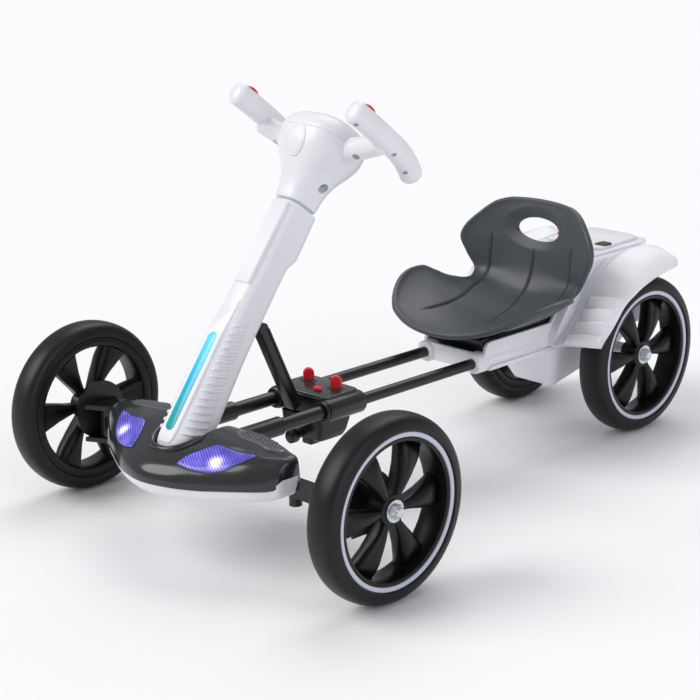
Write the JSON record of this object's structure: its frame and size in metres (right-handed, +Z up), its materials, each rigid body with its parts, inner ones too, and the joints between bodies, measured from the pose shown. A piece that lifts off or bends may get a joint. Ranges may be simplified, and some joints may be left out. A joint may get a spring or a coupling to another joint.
{
  "type": "kids electric go-kart",
  "caption": "Child's ride-on electric go-kart with a folding steering column, front pod, telescoping rails, scoop seat and mudguards.",
  "frame": {"origin": "on the floor, at the middle of the kart's length, on the middle plane", "axes": "the kart faces -Y, +X is its left side and +Z is up"},
  "size_m": [0.5904, 0.9338, 0.5416],
  "materials": {
    "tyre_black": "satin",
    "wheel_black": "satin",
    "ring_grey": "satin",
    "frame_black": "satin",
    "steel": "zinc plated",
    "pod_charcoal": "gloss",
    "white_plastic": "satin gloss",
    "red_plastic": "gloss",
    "led_cyan": "lit diffuser",
    "seat_grey": "satin"
  },
  "bodies": {
    "front_frame": {"front_axle": "frame_black", "pod_shell": "pod_charcoal", "pod_lip": "white_plastic", "rail_sleeve_left": "frame_black", "rail_sleeve_right": "frame_black", "front_tube_left": "frame_black", "front_tube_right": "frame_black", "clamp_block": "frame_black", "block_base": "frame_black", "lever_left": "red_plastic", "lever_right": "red_plastic", "lock_button": "red_plastic", "block_knob": "frame_black", "fold_pin": "steel"},
    "column_body": {"column": "white_plastic", "led_strip": "led_cyan", "column_panel": "white_plastic"},
    "strut_body": {"strut": "frame_black"},
    "steering": {"steering_head": "white_plastic", "grip_left": "white_plastic", "grip_right": "white_plastic", "horn_button_left": "red_plastic", "horn_button_right": "red_plastic"},
    "steer_left": {"knuckle_left": "frame_black"},
    "steer_right": {"knuckle_right": "frame_black"},
    "tie_rod_body": {"tie_rod": "frame_black"},
    "rear_frame": {"rear_tube_left": "frame_black", "rear_tube_right": "frame_black", "seat_carrier": "white_plastic", "lower_body": "white_plastic", "rear_deck": "white_plastic", "control_panel": "white_plastic", "power_switch": "red_plastic", "rear_axle": "steel", "seat_shell": "seat_grey", "seat_bracket": "seat_grey", "mudguard_left": "white_plastic", "mudguard_right": "white_plastic"},
    "wheel_front_left": {"tyre_front_left": "tyre_black", "wheel_centre_front_left": "wheel_black", "trim_ring_front_left": "ring_grey"},
    "wheel_front_right": {"tyre_front_right": "tyre_black", "wheel_centre_front_right": "wheel_black", "trim_ring_front_right": "ring_grey"},
    "wheel_rear_left": {"tyre_rear_left": "tyre_black", "wheel_centre_rear_left": "wheel_black", "trim_ring_rear_left": "ring_grey"},
    "wheel_rear_right": {"tyre_rear_right": "tyre_black", "wheel_centre_rear_right": "wheel_black", "trim_ring_rear_right": "ring_grey"}
  },
  "joints": [
    {"name": "column_fold", "type": "hinge", "parent": "front_frame", "child": "column_body", "pos_m": [0, -0.39495, 0.14], "axis": [-1, 0, 0], "range_deg": [0, 22]},
    {"name": "strut_fold", "type": "hinge", "parent": "column_body", "child": "strut_body", "pos_m": [0, -0.26855, 0.2552], "axis": [-1, 0, 0], "range_deg": [0, 60]},
    {"name": "steer", "type": "hinge", "parent": "column_body", "child": "steering", "pos_m": [0, -0.22135, 0.3848], "axis": [0, 0.6, 0.8], "range_deg": [-30, 30]},
    {"name": "steer_knuckle_left", "type": "hinge", "parent": "front_frame", "child": "steer_left", "pos_m": [0.228, -0.33295, 0.099], "axis": [0, 0, 1], "range_deg": [-25, 25]},
    {"name": "steer_knuckle_right", "type": "hinge", "parent": "front_frame", "child": "steer_right", "pos_m": [-0.228, -0.33295, 0.099], "axis": [0, 0, 1], "range_deg": [-25, 25]},
    {"name": "tie_rod_slide", "type": "slide", "parent": "front_frame", "child": "tie_rod_body", "axis": [1, 0, 0], "range_m": [-0.0152, 0.0152]},
    {"name": "length_slide", "type": "slide", "parent": "front_frame", "child": "rear_frame", "axis": [0, 1, 0], "range_m": [-0.1, 0]},
    {"name": "spin_front_left", "type": "hinge", "parent": "steer_left", "child": "wheel_front_left", "pos_m": [0.2739, -0.33295, 0.1125], "axis": [1, 0, 0], "continuous": true},
    {"name": "spin_front_right", "type": "hinge", "parent": "steer_right", "child": "wheel_front_right", "pos_m": [-0.2739, -0.33295, 0.1125], "axis": [1, 0, 0], "continuous": true},
    {"name": "spin_rear_left", "type": "hinge", "parent": "rear_frame", "child": "wheel_rear_left", "pos_m": [0.1099, 0.35445, 0.1125], "axis": [1, 0, 0], "continuous": true},
    {"name": "spin_rear_right", "type": "hinge", "parent": "rear_frame", "child": "wheel_rear_right", "pos_m": [-0.1099, 0.35445, 0.1125], "axis": [1, 0, 0], "continuous": true}
  ],
  "couplings": [
    {"joint": "strut_fold", "follows": "column_fold", "ratio": 2.727},
    {"joint": "steer_knuckle_left", "follows": "steer", "ratio": 0.83},
    {"joint": "steer_knuckle_right", "follows": "steer", "ratio": 0.83},
    {"joint": "tie_rod_slide", "follows": "steer", "m_per_rad": -0.0288}
  ]
}
